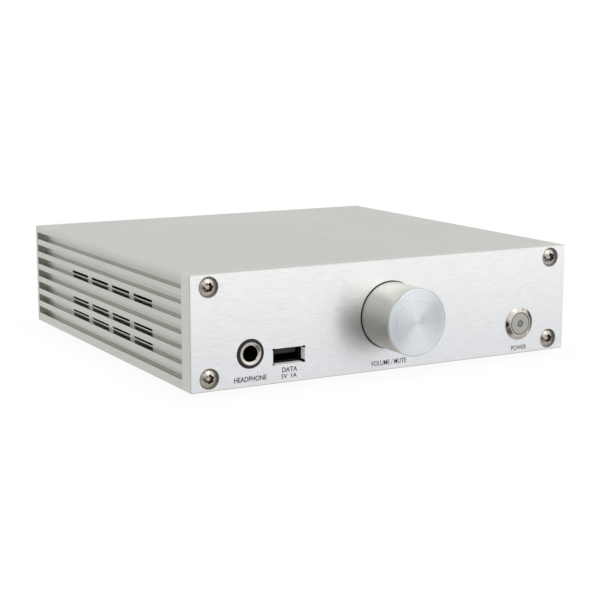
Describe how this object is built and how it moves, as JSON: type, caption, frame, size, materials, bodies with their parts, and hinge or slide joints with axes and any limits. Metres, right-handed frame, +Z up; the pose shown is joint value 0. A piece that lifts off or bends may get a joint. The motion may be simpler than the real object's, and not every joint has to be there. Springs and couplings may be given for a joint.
{
  "type": "headphone amplifier",
  "caption": "Desktop headphone amplifier: grooved aluminium case, thick front plate, turned volume knob that pushes to mute, headphone jack, USB socket and power button.",
  "frame": {"origin": "under the middle of the object's box, at the height of the feet's soles", "axes": "+Z up, -Y out of the front face with the knob, +X to the right as seen from the front"},
  "size_m": [0.196, 0.221, 0.0531],
  "materials": {
    "case": "satin anodised, pale grey",
    "front_face": "brushed across, clear anodised",
    "knob": "turned, clear anodised",
    "screw": "nickel plated, shiny",
    "polished_steel": "polished",
    "zinc_steel": "zinc plated",
    "button_cap": "satin",
    "dark_metal": "black",
    "gold_plate": "gold plated",
    "black_plastic": "moulded, black",
    "lens": "translucent grey",
    "rubber": "moulded, black",
    "board": "green solder mask on glass fibre",
    "capacitor": "dark shrink sleeve"
  },
  "bodies": {
    "case": {"amplifier_chip": "black_plastic", "board_connector": "black_plastic", "board_screw_front_left": "zinc_steel", "board_screw_front_right": "zinc_steel", "board_screw_rear_left": "zinc_steel", "board_screw_rear_right": "zinc_steel", "capacitor_1": "capacitor", "capacitor_2": "capacitor", "capacitor_3": "capacitor", "capacitor_4": "capacitor", "case_sleeve": "case", "dc_inlet": "black_plastic", "dc_pin": "polished_steel", "encoder_body": "zinc_steel", "encoder_nut": "zinc_steel", "foot_front_left": "rubber", "foot_front_right": "rubber", "foot_rear_left": "rubber", "foot_rear_right": "rubber", "foot_screw_front_left": "zinc_steel", "foot_screw_front_right": "zinc_steel", "foot_screw_rear_left": "zinc_steel", "foot_screw_rear_right": "zinc_steel", "front_board": "board", "front_plate": "front_face", "front_screw_lower_left": "screw", "front_screw_lower_right": "screw", "front_screw_upper_left": "screw", "front_screw_upper_right": "screw", "heat_sink": "dark_metal", "jack_body": "black_plastic", "jack_contact": "gold_plate", "jack_ferrule": "polished_steel", "line_block": "black_plastic", "line_in_left": "gold_plate", "line_in_right": "gold_plate", "line_out_left": "gold_plate", "line_out_right": "gold_plate", "main_board": "board", "mute_dome": "polished_steel", "mute_relay": "black_plastic", "power_bezel": "polished_steel", "power_nut": "zinc_steel", "power_spring": "zinc_steel", "power_switch": "black_plastic", "rear_plate": "case", "rear_screw_lower_left": "screw", "rear_screw_lower_right": "screw", "rear_screw_upper_left": "screw", "rear_screw_upper_right": "screw", "usb_b_shell": "zinc_steel", "usb_b_tongue": "black_plastic", "usb_insulator": "black_plastic", "usb_shell": "dark_metal"},
    "mute_plunger": {"mute_plunger": "black_plastic"},
    "knob": {"knob": "knob", "knob_set_screw": "dark_metal", "encoder_shaft": "zinc_steel"},
    "power_button": {"power_cap": "button_cap", "power_lens": "lens"}
  },
  "joints": [
    {"name": "mute_push", "type": "slide", "parent": "case", "child": "mute_plunger", "axis": [0, 1, 0], "range_m": [0, 0.0005], "stiffness_N_per_m": 1500, "springref_m": -0.001},
    {"name": "volume_turn", "type": "hinge", "parent": "mute_plunger", "child": "knob", "pos_m": [0, -0.0985, 0.02805], "axis": [0, 1, 0], "continuous": true},
    {"name": "power_push", "type": "slide", "parent": "case", "child": "power_button", "axis": [0, 1, 0], "range_m": [0, 0.0012], "stiffness_N_per_m": 1200, "springref_m": -0.001, "deforming": ["power_spring"]}
  ]
}
